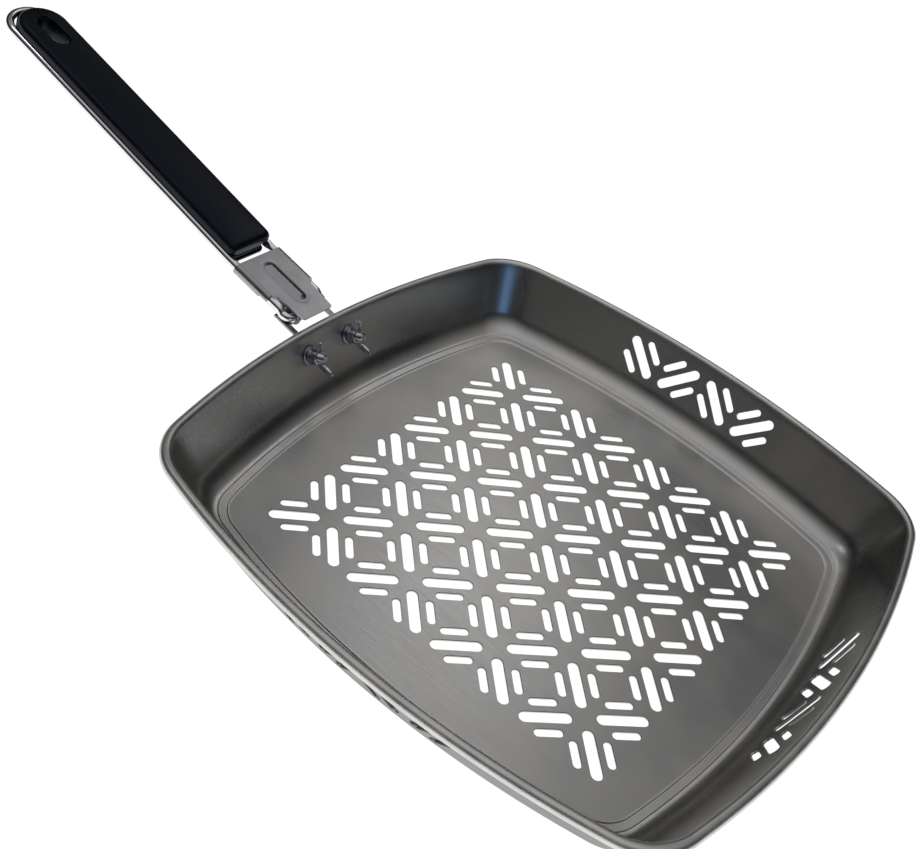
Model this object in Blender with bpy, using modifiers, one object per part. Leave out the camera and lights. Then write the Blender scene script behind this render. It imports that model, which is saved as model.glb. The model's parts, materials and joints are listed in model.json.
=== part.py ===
"""Square perforated grill basket with a folding wire handle and a sliding lock.

Metres, +Z up. The origin is the middle of the basket's underside. The handle
lies towards -X. Every part is one closed solid under its own name.
"""
import math

import bmesh
import bpy
from mathutils import Matrix, Vector

# ---------------------------------------------------------------- sizes (m)
SHEET = 0.0009                 # thickness of the basket's steel
GAP = 0.0003                   # clearance between pieces that touch

RIM_HALF = 0.1528              # middle of a side, to the outside of the bead
RIM_BOW = 0.478                # radius of a rim side's outward bow
RIM_CORNER = 0.032             # radius of the rim's corners
FLOOR_HALF = 0.1233            # middle of a side, to the start of the fillet
FLOOR_BOW = 0.430
FLOOR_CORNER = 0.018
BEAD_RADIUS = 0.0026
BEAD_HEIGHT = 0.0349           # height of the bead's centre line
WALL_LEAN = math.radians(21)   # from the vertical
FILLET = 0.0158                # inner radius between floor and wall

PITCH = 0.0346                 # spacing of the woven slot pattern
LONG_SLOT = (0.0235, 0.0051)   # length and width
SHORT_SLOT = (0.0128, 0.0036)
WALL_SLOT_STRETCH = 1.06       # drawing the walls makes their slots longer
SHORT_OFFSET = 0.00756         # from the middle of the group
SIDE_SLOT_HEIGHT = 0.0213      # height of the row of slots in a side wall
FAR_SLOT_HEIGHT = 0.0175       # and in the far wall

HANDLE_Y = -0.0062             # the handle's middle line
ROD_FRONT_X = -0.1615          # a point on the rods' line above the hinge
ROD_FRONT_Z = 0.0374
HINGE_DROP = 0.0016            # hinge axis below the rods' line
FRONT_SLOPE = math.radians(10.8)
GRIP_SLOPE = math.radians(14.2)
ROD_RADIUS = 0.0023
ROD_SPREAD = 0.0134            # rod centre line from the handle's middle line
FRONT_LENGTH = 0.0443          # hinge to the bend in the rods
GRIP_LENGTH = 0.1925           # bend to the rail's round tip

EAR_INSIDE = 0.0088            # inner face of a bracket ear
EYE_RADIUS = 0.0038            # outside of an ear's round eye
SEAT_HALF = 0.0150             # half width of the bracket's level part
WINDOW = (0.0012, 0.0095, 0.0121)   # its window: start, end and half width
EAR_BACK = -0.0187             # rear end of an ear
LEDGE = (-0.0180, -0.0085, 0.0132)  # under a rod: rear, front and outer edge
RISE_END = 0.0080              # where the rods leave their line to drop to the hinge
BRACKET_SHEET = 0.0012
BOLT_SPREAD = 0.0148
BOLT_HEIGHT = 0.0262           # where a bolt meets the wall's inner face
BOLT_RADIUS = 0.0024
NUT_TURN = math.radians(15)    # how far the wing nuts are turned

SLIDER_SHEET = 0.0007
SLIDER_TRAVEL = 0.0112         # from released, as modelled, to locked
SLIDER_BACK = -0.0276          # along the rods from the hinge, when locked
SLIDER_SHOULDER = -0.0005
SIDE_END = -0.0029             # front end of the rolled edges
TONGUE_TIP = 0.0178
LIP_END = -0.0095              # the lips under the rods stop before they drop
RIB_MIDDLE = -0.0072
RIB_SIZE = (0.0290, 0.0062)    # length and width

# ---------------------------------------------------------------- tidy start
for old in list(bpy.data.objects):
    bpy.data.objects.remove(old, do_unlink=True)


def new_collection(name):
    """A collection of this name, linked to the scene."""
    collection = bpy.data.collections.new(name)
    bpy.context.scene.collection.children.link(collection)
    return collection


PARTS = new_collection("grill_basket")
CUTTERS = new_collection("cutters")


def material(name, colour, roughness, metallic):
    """A plain Principled material."""
    made = bpy.data.materials.new(name)
    made.use_nodes = True
    shader = made.node_tree.nodes["Principled BSDF"]
    shader.inputs["Base Color"].default_value = (*colour, 1.0)
    shader.inputs["Roughness"].default_value = roughness
    shader.inputs["Metallic"].default_value = metallic
    made.diffuse_color = (*colour, 1.0)
    return made


def steel(name):
    return material(name, (0.50, 0.50, 0.49), 0.34, 1.0)


def bright(name):
    return material(name, (0.78, 0.78, 0.79), 0.12, 1.0)


def black(name):
    return material(name, (0.012, 0.013, 0.018), 0.32, 0.0)


# ---------------------------------------------------------------- helpers
def add(mesh, name, finish=None, place=None, collection=None):
    """An object for a mesh, in the parts collection unless told otherwise."""
    made = bpy.data.objects.new(name, mesh)
    (collection or PARTS).objects.link(made)
    if place is not None:
        made.matrix_world = place
    if finish is not None:
        mesh.materials.clear()
        mesh.materials.append(finish)
    return made


def hide(cutter):
    """Marks an object as a cutter that isn't part of the basket."""
    cutter.hide_render = True
    cutter.display_type = "WIRE"
    return cutter


def boolean(target, tool, operation):
    """A live exact Boolean of a mesh object with a hidden tool object."""
    cut = target.modifiers.new(tool.name, "BOOLEAN")
    cut.operation = operation
    cut.solver = "EXACT"
    cut.object = hide(tool)


def from_curve(curve, name, place=None):
    """The filled mesh of a curve, with its caps welded, as a loose mesh."""
    holder = bpy.data.objects.new(name, curve)
    CUTTERS.objects.link(holder)
    if place is not None:
        holder.matrix_world = place
    bpy.context.view_layer.update()
    evaluated = holder.evaluated_get(bpy.context.evaluated_depsgraph_get())
    mesh = bpy.data.meshes.new_from_object(evaluated)
    mesh.name = name
    bpy.data.objects.remove(holder, do_unlink=True)
    work = bmesh.new()
    work.from_mesh(mesh)
    bmesh.ops.remove_doubles(work, verts=work.verts, dist=1e-6)
    bmesh.ops.recalc_face_normals(work, faces=work.faces)
    work.to_mesh(mesh)
    work.free()
    return mesh


def plate(outlines, thickness, name, place=None, rounding=0.0):
    """Flat outlines in XY, filled and given a thickness along Z about zero."""
    curve = bpy.data.curves.new(name, "CURVE")
    curve.dimensions = "2D"
    curve.fill_mode = "BOTH"
    curve.extrude = thickness / 2 - rounding
    curve.bevel_depth = rounding
    curve.bevel_resolution = 1
    curve.offset = -rounding
    for outline in outlines:
        spline = curve.splines.new("POLY")
        spline.points.add(len(outline) - 1)
        for point, (x, y) in zip(spline.points, outline):
            point.co = (x, y, 0.0, 1.0)
        spline.use_cyclic_u = True
    return from_curve(curve, name, place)


def rectangle(start, end, half):
    """An outline from start to end along X, and half a width each side of it."""
    return [(start, -half), (end, -half), (end, half), (start, half)]


def cylinder(radius, length, name, sides=24):
    """A cylinder along Z, centred on its origin."""
    mesh = bpy.data.meshes.new(name)
    work = bmesh.new()
    bmesh.ops.create_cone(work, cap_ends=True, segments=sides, radius1=radius,
                          radius2=radius, depth=length)
    work.to_mesh(mesh)
    work.free()
    return mesh


def block(low, high, name):
    """A box between two corners."""
    mesh = bpy.data.meshes.new(name)
    work = bmesh.new()
    bmesh.ops.create_cube(work, size=1.0)
    size = Vector(high) - Vector(low)
    centre = (Vector(high) + Vector(low)) / 2
    shape = Matrix.Translation(centre) @ Matrix.Diagonal((*size, 1.0))
    bmesh.ops.transform(work, matrix=shape, verts=work.verts)
    work.to_mesh(mesh)
    work.free()
    return mesh


def turned(profile, name, finish, place, sides=24):
    """A solid turned about Z from (radius, height) points, top to bottom."""
    mesh = bpy.data.meshes.new(name)
    mesh.from_pydata([(r, 0.0, z) for r, z in profile],
                     [(i, i + 1) for i in range(len(profile) - 1)], [])
    made = add(mesh, name, finish, place)
    screw = made.modifiers.new("turn", "SCREW")
    screw.axis = "Z"
    screw.steps = sides
    screw.render_steps = sides
    screw.use_merge_vertices = True
    screw.merge_threshold = 1e-6
    return made


def round_stop(mesh):
    """Smooth shading, with edges over 35 degrees left sharp."""
    mesh.shade_smooth()
    mesh.set_sharp_from_angle(angle=math.radians(35))


# ---------------------------------------------------------------- basket
def quarter(half, bow, corner, bow_steps=5, corner_steps=5):
    """One quarter of a bowed square, from the +X side to the +Y side.

    Two large arcs of radius bow form the sides, and a small arc of radius
    corner, tangent to both, joins them.
    """
    side = half - bow
    reach = bow - corner
    middle = side / 2
    across = math.sqrt(reach ** 2 - side ** 2 / 2)
    centre = middle + across / math.sqrt(2)
    first = math.atan2(centre, centre - side)
    points = []
    for i in range(bow_steps):
        angle = first * i / bow_steps
        points.append((side + bow * math.cos(angle), bow * math.sin(angle)))
    for i in range(corner_steps + 1):
        angle = first + (math.pi / 2 - 2 * first) * i / corner_steps
        points.append((centre + corner * math.cos(angle),
                       centre + corner * math.sin(angle)))
    for i in range(1, bow_steps):
        angle = first * (bow_steps - i) / bow_steps
        points.append((bow * math.sin(angle), side + bow * math.cos(angle)))
    return points


def outline(half):
    """The whole outline at a half width, between the floor's and the rim's."""
    share = (half - FLOOR_HALF) / (RIM_HALF - FLOOR_HALF)
    bow = FLOOR_BOW + (RIM_BOW - FLOOR_BOW) * share
    corner = FLOOR_CORNER + (RIM_CORNER - FLOOR_CORNER) * share
    points = quarter(half, bow, corner)
    for _ in range(3):
        last = points[-(len(quarter(half, bow, corner))):]
        points += [(-y, x) for x, y in last]
    return points


def wall_tangent():
    """Where the wall's inner face meets the bead: (half width, height)."""
    return (RIM_HALF - BEAD_RADIUS * (1 + math.cos(WALL_LEAN)),
            BEAD_HEIGHT + BEAD_RADIUS * math.sin(WALL_LEAN))


def wall_half(height):
    """Half width of the wall's inner face at a height, at mid side."""
    top_half, top_height = wall_tangent()
    return top_half - (top_height - height) * math.tan(WALL_LEAN)


def section():
    """The basket's section as (half width, height), inside then outside."""
    turn = math.pi / 2 - WALL_LEAN
    centre = (FLOOR_HALF, SHEET + FILLET)
    inner = []
    outer = []
    for i in range(5):
        angle = turn * i / 4
        way = (math.sin(angle), -math.cos(angle))
        inner.append((centre[0] + FILLET * way[0], centre[1] + FILLET * way[1]))
        radius = FILLET + SHEET
        outer.append((centre[0] + radius * way[0], centre[1] + radius * way[1]))
    top_half, top_height = wall_tangent()
    bead = (RIM_HALF - BEAD_RADIUS, BEAD_HEIGHT)
    start = math.pi - WALL_LEAN
    end = math.radians(-125)
    rim = []
    for i in range(8):
        angle = start + (end - start) * i / 7
        rim.append((bead[0] + BEAD_RADIUS * math.cos(angle),
                    bead[1] + BEAD_RADIUS * math.sin(angle)))
    skin = SHEET / math.cos(WALL_LEAN)
    neck_height = BEAD_HEIGHT - 1.3 * BEAD_RADIUS
    neck = (top_half - (top_height - neck_height) * math.tan(WALL_LEAN) + skin, neck_height)
    return inner + rim + [neck] + outer[::-1]


def basket_mesh():
    """Rings of the outline at each point of the section, closed by a floor."""
    work = bmesh.new()
    rings = []
    for half, height in section():
        rings.append([work.verts.new((x, y, height)) for x, y in outline(half)])
    for lower, upper in zip(rings, rings[1:]):
        for i in range(len(lower)):
            j = (i + 1) % len(lower)
            work.faces.new((lower[i], lower[j], upper[j], upper[i]))
    work.faces.new(rings[0])
    work.faces.new(rings[-1][::-1])
    bmesh.ops.recalc_face_normals(work, faces=work.faces)
    mesh = bpy.data.meshes.new("pan_body")
    work.to_mesh(mesh)
    work.free()
    return mesh


def stadium(centre, angle, size, steps):
    """A slot's outline: a bar of a length and width with round ends."""
    length, width = size
    radius = width / 2
    points = []
    for end in (1, -1):
        for i in range(steps + 1):
            turn = -math.pi / 2 + math.pi * i / steps
            x = end * (length / 2 - radius + radius * math.cos(turn))
            y = end * radius * math.sin(turn)
            points.append((centre[0] + x * math.cos(angle) - y * math.sin(angle),
                           centre[1] + x * math.sin(angle) + y * math.cos(angle)))
    return points


def slot_group(centre, angle, stretch=1.0):
    """A long slot between two short ones, all along one direction."""
    long_size = (LONG_SLOT[0] * stretch, LONG_SLOT[1])
    short_size = (SHORT_SLOT[0] * stretch, SHORT_SLOT[1])
    outlines = [stadium(centre, angle, long_size, 3)]
    for side in (-1, 1):
        spot = (centre[0] - side * SHORT_OFFSET * math.sin(angle),
                centre[1] + side * SHORT_OFFSET * math.cos(angle))
        outlines.append(stadium(spot, angle, short_size, 2))
    return outlines


def floor_slots():
    """Groups on the links of a square net turned 45 degrees to the sides."""
    outlines = []
    turn = math.sqrt(0.5) * PITCH
    for row in range(-3, 4):
        for step in range(-4, 4):
            link = step + 0.5
            if abs(link) + abs(row) > 3.5:
                continue
            for u, v, angle in ((link, row, math.pi / 4), (row, link, -math.pi / 4)):
                outlines += slot_group(((u + v) * turn, (u - v) * turn), angle)
    return outlines


def wall_slots(first):
    """Four groups in a row, their directions taking turns."""
    outlines = []
    spacing = math.sqrt(0.5) * PITCH
    for i in range(4):
        angle = first * math.pi / 4 * (-1) ** i
        outlines += slot_group(((i - 1.5) * spacing, 0.0), angle, WALL_SLOT_STRETCH)
    return outlines


def wall_place(heading, height):
    """Lies a flat outline on a wall: its X level, its Y up the wall.

    heading is the direction the wall faces, as an angle about Z.
    """
    half = wall_half(height) + SHEET / 2
    outward = Vector((math.cos(heading), math.sin(heading), 0.0))
    level = Vector((-math.sin(heading), math.cos(heading), 0.0))
    up = outward * math.sin(WALL_LEAN) + Vector((0, 0, 1)) * math.cos(WALL_LEAN)
    out = level.cross(up)
    turn = Matrix((level, up, out)).transposed().to_4x4()
    return Matrix.Translation(outward * half + Vector((0, 0, height))) @ turn


def bolt_place(side, distance):
    """Z along a bolt, into the basket, at a distance from the wall's face."""
    inward = Vector((math.cos(WALL_LEAN), 0.0, math.sin(WALL_LEAN)))
    level = Vector((0.0, 1.0, 0.0))
    base = Vector((-wall_half(BOLT_HEIGHT), HANDLE_Y + side * BOLT_SPREAD, BOLT_HEIGHT))
    turn = Matrix((level.cross(inward), level, inward)).transposed().to_4x4()
    return Matrix.Translation(base + inward * distance) @ turn


def make_basket():
    basket = add(basket_mesh(), "pan_body", steel("pan_body"))
    floor = add(plate(floor_slots(), 0.006, "floor_slots"), "floor_slots", None, None, CUTTERS)
    boolean(basket, floor, "DIFFERENCE")
    walls = (("far_wall_slots", 0.0, FAR_SLOT_HEIGHT, -1),
             ("left_wall_slots", math.pi / 2, SIDE_SLOT_HEIGHT, -1),
             ("right_wall_slots", -math.pi / 2, SIDE_SLOT_HEIGHT, -1))
    for name, heading, height, first in walls:
        place = wall_place(heading, height)
        cutter = add(plate(wall_slots(first), 0.009, name), name, None, place, CUTTERS)
        boolean(basket, cutter, "DIFFERENCE")
    for side in (-1, 1):
        name = f"wall_bolt_hole_{side + 1}"
        hole = add(cylinder(BOLT_RADIUS + 0.0004, 0.008, name, 16), name, None,
                   bolt_place(side, 0.0), CUTTERS)
        boolean(basket, hole, "DIFFERENCE")


# ---------------------------------------------------------------- handle frame
# Front frame: origin on the rods' line above the hinge, X along the rods
# towards the basket, Y as the world's and Z up from the rods.
FRONT = (Matrix.Translation((ROD_FRONT_X, HANDLE_Y, ROD_FRONT_Z))
         @ Matrix.Rotation(FRONT_SLOPE, 4, "Y"))
HINGE = Matrix.Translation(FRONT @ Vector((0.0, 0.0, -HINGE_DROP)))
# Grip frame: origin at the bend in the rods, X back along the straight rods.
BEND = FRONT @ Vector((-FRONT_LENGTH, 0.0, 0.0))
GRIP = Matrix.Translation(BEND) @ Matrix.Rotation(GRIP_SLOPE, 4, "Y") @ Matrix.Rotation(math.pi, 4, "Z")


def upright(frame):
    """A frame whose flat outlines lie in the XZ plane, thickness along Y."""
    return frame @ Matrix.Rotation(math.pi / 2, 4, "X")


def arc(centre, radius, start, end, steps):
    """Points on an arc in a plane, from one angle to another."""
    span = end - start
    return [(centre[0] + radius * math.cos(start + span * i / steps),
             centre[1] + radius * math.sin(start + span * i / steps))
            for i in range(steps + 1)]


def rail_half():
    """Centre line of the rail's +Y half, from its hinge end to its tip."""
    turn = 0.0042
    front = [(0.0, EAR_INSIDE - 0.0012), (0.0, ROD_SPREAD - turn)]
    front += arc((-turn, ROD_SPREAD - turn), turn, 0.0, math.pi / 2, 4)[1:]
    points = [FRONT @ Vector((x, y, -HINGE_DROP)) for x, y in front]
    straight = (-RISE_END, -FRONT_LENGTH + 0.006)
    points += [FRONT @ Vector((x, ROD_SPREAD, 0.0)) for x in straight]
    tip_turn = ROD_SPREAD - 0.0005
    back = [(0.006, ROD_SPREAD), (GRIP_LENGTH / 2, ROD_SPREAD)]
    back += arc((GRIP_LENGTH - tip_turn, ROD_SPREAD - tip_turn), tip_turn,
                math.pi / 2, 0.0, 6)
    points += [GRIP @ Vector((x, -y, 0.0)) for x, y in back]
    return points


def make_rail():
    half = rail_half()
    mirrored = [Vector((p.x, 2 * HANDLE_Y - p.y, p.z)) for p in reversed(half)]
    curve = bpy.data.curves.new("handle_rail", "CURVE")
    curve.dimensions = "3D"
    curve.bevel_depth = ROD_RADIUS
    curve.bevel_resolution = 2
    curve.use_fill_caps = True
    spline = curve.splines.new("POLY")
    points = half + mirrored
    spline.points.add(len(points) - 1)
    for point, spot in zip(spline.points, points):
        point.co = (*spot, 1.0)
    mesh = from_curve(curve, "handle_rail")
    mesh.transform(HINGE.inverted())
    round_stop(mesh)
    add(mesh, "handle_rail", bright("handle_rail"), HINGE)


def grip_outline(half_width, start, end):
    """A long bar in plan, with a round far end and small near corners."""
    radius = half_width
    points = arc((start + 0.003, half_width - 0.003), 0.003, math.pi, math.pi / 2, 2)
    points += arc((end - radius, 0.0), radius, math.pi / 2, -math.pi / 2, 10)
    points += arc((start + 0.003, -half_width + 0.003), 0.003, -math.pi / 2, -math.pi, 2)
    return points


GRIP_START = 0.0005
GRIP_TONGUE = ROD_SPREAD - ROD_RADIUS - GAP      # half width between the rods
GRIP_EDGE = ROD_SPREAD + 0.0005                  # half width above the rods
GRIP_UNDER = ROD_SPREAD - 0.0012                 # half width below the rods
GRIP_TOP = 0.0090
GRIP_BOTTOM = -0.0044
HOLE_MIDDLE = 0.1660
HOLE_SIZE = (0.0205, 0.0095)                   # length and width
SCREW_SPOTS = (("front", 0.018), ("middle", 0.078), ("rear", 0.138))
GRIP_END = 0.1868                                # far end of the wide slabs
TONGUE_END = 0.1894                              # far end between the rods


def grip_half(name, low, high, rod_side, finish):
    """One half of the grip: a wide slab and a narrower tongue between the rods."""
    rod_face = ROD_RADIUS + GAP
    if rod_side > 0:
        half_width = GRIP_EDGE
        slab = (rod_face, high)
        tongue = (GAP / 2, rod_face + 0.001)
    else:
        half_width = GRIP_UNDER
        slab = (low, -rod_face)
        tongue = (-rod_face - 0.001, -GAP / 2)
    rounding = min(0.0016, (slab[1] - slab[0]) * 0.3)
    wide = plate([grip_outline(half_width, GRIP_START, GRIP_END)],
                 slab[1] - slab[0], name, None, rounding)
    made = add(wide, name, finish, GRIP @ Matrix.Translation((0, 0, sum(slab) / 2)))
    narrow = plate([grip_outline(GRIP_TONGUE, GRIP_START + 0.001, TONGUE_END)],
                   tongue[1] - tongue[0], f"{name}_tongue")
    join = add(narrow, f"{name}_tongue", None,
               GRIP @ Matrix.Translation((0, 0, sum(tongue) / 2)), CUTTERS)
    boolean(made, join, "UNION")
    hole_mesh = plate([stadium((HOLE_MIDDLE, 0.0), 0.0, HOLE_SIZE, 6)],
                      0.040, f"{name}_hanging_hole")
    boolean(made, add(hole_mesh, f"{name}_hanging_hole", None, GRIP, CUTTERS), "DIFFERENCE")
    return made


def screw_profile(radius, length):
    """A countersunk screw from its tip down to its head, for the turned solid."""
    head = radius * 2
    return [(0.0, length), (radius * 0.7, length), (radius, length - 0.0008),
            (radius, head - radius), (head, 0.0), (0.0, 0.0)]


def make_grip():
    top = grip_half("grip_top", 0.0, GRIP_TOP, 1, black("grip_top"))
    bottom = grip_half("grip_bottom", GRIP_BOTTOM, 0.0, -1, black("grip_bottom"))
    length = 0.0105
    for label, along in SCREW_SPOTS:
        place = GRIP @ Matrix.Translation((along, 0.0, GRIP_BOTTOM + 0.0004))
        turned(screw_profile(0.0014, length), f"grip_screw_{label}",
               steel(f"grip_screw_{label}"), place, 12)
        for target in (top, bottom):
            name = f"{target.name}_{label}_bore"
            bore = turned(screw_profile(0.0014 + GAP, length + 0.0008), name, None,
                          place @ Matrix.Translation((0, 0, -0.0005)), 12)
            PARTS.objects.unlink(bore)
            CUTTERS.objects.link(bore)
            boolean(target, bore, "DIFFERENCE")


# ---------------------------------------------------------------- hinge bracket
def make_bracket():
    """A plate bolted to the wall, bent out level below the rods, with two eyes.

    The level part has a window. When the handle folds, the lock's tongue
    swings down through it between the eyes and the wall.
    """
    lean = Matrix.Rotation(-WALL_LEAN, 4, "Y")
    inward = Vector((math.cos(WALL_LEAN), 0.0, math.sin(WALL_LEAN)))
    face = SHEET + GAP + BRACKET_SHEET / 2
    wall_spot = Vector((-wall_half(BOLT_HEIGHT), HANDLE_Y, BOLT_HEIGHT)) - inward * face
    corners = ((0.0065, 0.0105), (0.0065, 0.0205), (-0.0085, 0.0205), (-0.0135, 0.0105))
    outline_points = [(u, v) for u, v in corners] + [(u, -v) for u, v in reversed(corners)]
    flat = plate([outline_points], BRACKET_SHEET, "hinge_bracket")
    stand = Matrix.Translation(wall_spot) @ lean @ Matrix.Rotation(-math.pi / 2, 4, "Y")
    bracket = add(flat, "hinge_bracket", steel("hinge_bracket"), stand)

    seat_top = -HINGE_DROP - ROD_RADIUS - GAP
    seat_middle = seat_top - BRACKET_SHEET / 2
    foot, head = (FRONT.inverted() @ stand @ Vector((u, 0.0, 0.0)) for u in (0.0, 0.006))
    seat_end = foot.lerp(head, (seat_middle - foot.z) / (head.z - foot.z)).x
    start, end, half = WINDOW
    seat = plate([rectangle(-RISE_END, seat_end, SEAT_HALF), rectangle(start, end, half)],
                 BRACKET_SHEET, "seat")
    seat_place = FRONT @ Matrix.Translation((0.0, 0.0, seat_middle))
    boolean(bracket, add(seat, "seat", None, seat_place, CUTTERS), "UNION")

    ledge_top = -ROD_RADIUS - GAP
    ledge_low = ledge_top - BRACKET_SHEET
    bury = 0.0004
    side = [(EAR_BACK, ledge_low - 0.0001), (-RISE_END - bury, ledge_low - 0.0001),
            (-RISE_END + bury, seat_top - 2 * bury), (start - bury, seat_top - 2 * bury)]
    side += arc((0.0, -HINGE_DROP), EYE_RADIUS, -math.pi / 3, math.pi / 2, 8)
    side += [(LEDGE[0], -0.0010)]
    for sign in (-1, 1):
        middle = sign * (EAR_INSIDE + BRACKET_SHEET / 2)
        ear = plate([side], BRACKET_SHEET, f"ear_{sign + 1}")
        ear_place = upright(FRONT @ Matrix.Translation((0.0, middle, 0.0)))
        boolean(bracket, add(ear, f"ear_{sign + 1}", None, ear_place, CUTTERS), "UNION")
        near, far = sorted((sign * (EAR_INSIDE + bury), sign * LEDGE[2]))
        ledge = block((LEDGE[0], near, ledge_low), (LEDGE[1], far, ledge_top),
                      f"ledge_{sign + 1}")
        boolean(bracket, add(ledge, f"ledge_{sign + 1}", None, FRONT, CUTTERS), "UNION")
        eye = cylinder(ROD_RADIUS + 0.0004, 0.004, f"eye_{sign + 1}", 16)
        eye_place = upright(FRONT @ Matrix.Translation((0.0, middle, -HINGE_DROP)))
        boolean(bracket, add(eye, f"eye_{sign + 1}", None, eye_place, CUTTERS), "DIFFERENCE")
        hole = cylinder(BOLT_RADIUS + 0.0004, 0.006, f"bracket_hole_{sign + 1}", 16)
        boolean(bracket, add(hole, f"bracket_hole_{sign + 1}", None,
                             bolt_place(sign, -face), CUTTERS), "DIFFERENCE")


# ---------------------------------------------------------------- bolts and nuts
WASHER_THICK = 0.0010
WASHER_RADIUS = 0.0052
HUB_HEIGHT = 0.0052


def make_bolts():
    """A bolt, washer and wing nut on each side of the bracket."""
    head_face = -(SHEET + GAP + BRACKET_SHEET + GAP)
    wing = [(0.0030, 0.0008), (0.0048, 0.0012), (0.0075, 0.0034), (0.0098, 0.0060),
            (0.0108, 0.0086), (0.0100, 0.0104), (0.0084, 0.0100), (0.0062, 0.0078),
            (0.0046, 0.0052), (0.0030, 0.0046)]
    for side, label in ((-1, "right"), (1, "left")):
        far_edge = abs(HANDLE_Y + side * BOLT_SPREAD) + WASHER_RADIUS
        inner = GAP + far_edge ** 2 / (2 * FLOOR_BOW)
        nut_base = inner + WASHER_THICK + GAP
        reach = nut_base + HUB_HEIGHT + 0.0036
        head = [(0.0, reach), (BOLT_RADIUS * 0.75, reach), (BOLT_RADIUS, reach - 0.0007),
                (BOLT_RADIUS, head_face), (0.0038, head_face), (0.0036, head_face - 0.0012),
                (0.0026, head_face - 0.0021), (0.0, head_face - 0.0024)]
        turned(head, f"bolt_{label}", bright(f"bolt_{label}"), bolt_place(side, 0.0), 20)
        washer = add(cylinder(WASHER_RADIUS, WASHER_THICK, f"washer_{label}", 24),
                     f"washer_{label}", bright(f"washer_{label}"),
                     bolt_place(side, inner + WASHER_THICK / 2))
        bore = add(cylinder(BOLT_RADIUS + 0.0003, 0.02, f"bore_{label}", 20), f"bore_{label}",
                   None, bolt_place(side, nut_base), CUTTERS)
        boolean(washer, bore, "DIFFERENCE")
        hub = [(0.0, HUB_HEIGHT), (0.0036, HUB_HEIGHT), (0.0040, HUB_HEIGHT - 0.0006),
               (0.0045, 0.0), (0.0, 0.0)]
        place = bolt_place(side, nut_base) @ Matrix.Rotation(NUT_TURN, 4, "Z")
        nut = turned(hub, f"wing_nut_{label}", bright(f"wing_nut_{label}"), place, 20)
        for way in (0, 1):
            name = f"wing_{label}_{way}"
            turn = place @ Matrix.Rotation(math.pi * way, 4, "Z")
            piece = add(plate([wing], 0.0017, name), name, None, upright(turn), CUTTERS)
            boolean(nut, piece, "UNION")
        boolean(nut, bore, "DIFFERENCE")


# ---------------------------------------------------------------- lock slider
def rolled_section(last, inset):
    """The slider's section: a flat top whose edges roll round the rods.

    last is the angle at which a rolled edge ends, from the +Y direction
    round the rod. inset makes the sheet thinner, so that sections that
    overlap have no faces in one plane.
    """
    inner = ROD_RADIUS + GAP + inset
    outer = ROD_RADIUS + GAP + SLIDER_SHEET - inset
    half = arc((ROD_SPREAD, 0.0), outer, math.pi / 2, last, 8)
    half += arc((ROD_SPREAD, 0.0), inner, last, math.pi / 2, 8)
    return half + [(-y, z) for y, z in reversed(half)]


def make_slider():
    """A plate with edges rolled round the rods, and a tongue over the rim.

    Its sizes are measured when locked. It is modelled released, so that the
    tongue clears the rim and the handle can fold.
    """
    slide = FRONT @ Matrix.Translation((-SLIDER_TRAVEL, 0.0, 0.0))
    low = ROD_RADIUS + GAP
    overlap = 0.0006
    inset = 0.00003
    across = Matrix.Rotation(math.pi / 2, 4, "Z") @ Matrix.Rotation(math.pi / 2, 4, "X")
    lengths = (("lock_slider", SLIDER_BACK, LIP_END, math.radians(-92), 0.0),
               ("lock_front", LIP_END - overlap, SIDE_END, math.radians(-4), inset))
    made = []
    for name, back, front, last, thinner in lengths:
        mesh = plate([rolled_section(last, thinner)], front - back, name)
        place = slide @ Matrix.Translation(((back + front) / 2, 0.0, 0.0)) @ across
        made.append(add(mesh, name, steel(name), place))
    slider, middle = made
    PARTS.objects.unlink(middle)
    CUTTERS.objects.link(middle)
    boolean(slider, middle, "UNION")
    half = [(SIDE_END - overlap, 0.0138), (SIDE_END, 0.0138), (SLIDER_SHOULDER, 0.0126),
            (SLIDER_SHOULDER, 0.0117), (SLIDER_SHOULDER + 0.0012, 0.0114),
            (TONGUE_TIP - 0.0012, 0.0105), (TONGUE_TIP, 0.0094)]
    shape = half + [(x, -y) for x, y in reversed(half)]
    tongue = plate([shape], SLIDER_SHEET - 4 * inset, "lock_tongue")
    middle_height = low + SLIDER_SHEET / 2
    tongue_place = slide @ Matrix.Translation((0.0, 0.0, middle_height))
    boolean(slider, add(tongue, "lock_tongue", None, tongue_place, CUTTERS), "UNION")
    rib = plate([stadium((RIB_MIDDLE, 0.0), 0.0, RIB_SIZE, 4)], 0.0022, "lock_rib", None, 0.0009)
    rib_place = slide @ Matrix.Translation((0.0, 0.0, low + SLIDER_SHEET + 0.0001))
    boolean(slider, add(rib, "lock_rib", None, rib_place, CUTTERS), "UNION")


make_basket()
make_rail()
make_grip()
make_bracket()
make_bolts()
make_slider()
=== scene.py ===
"""Looks of a square perforated grill basket with a folding wire handle.

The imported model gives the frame: its boxes, joints and names. The fine
surfaces below stand on it, each in its own operator.
"""
import json
import math

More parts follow.
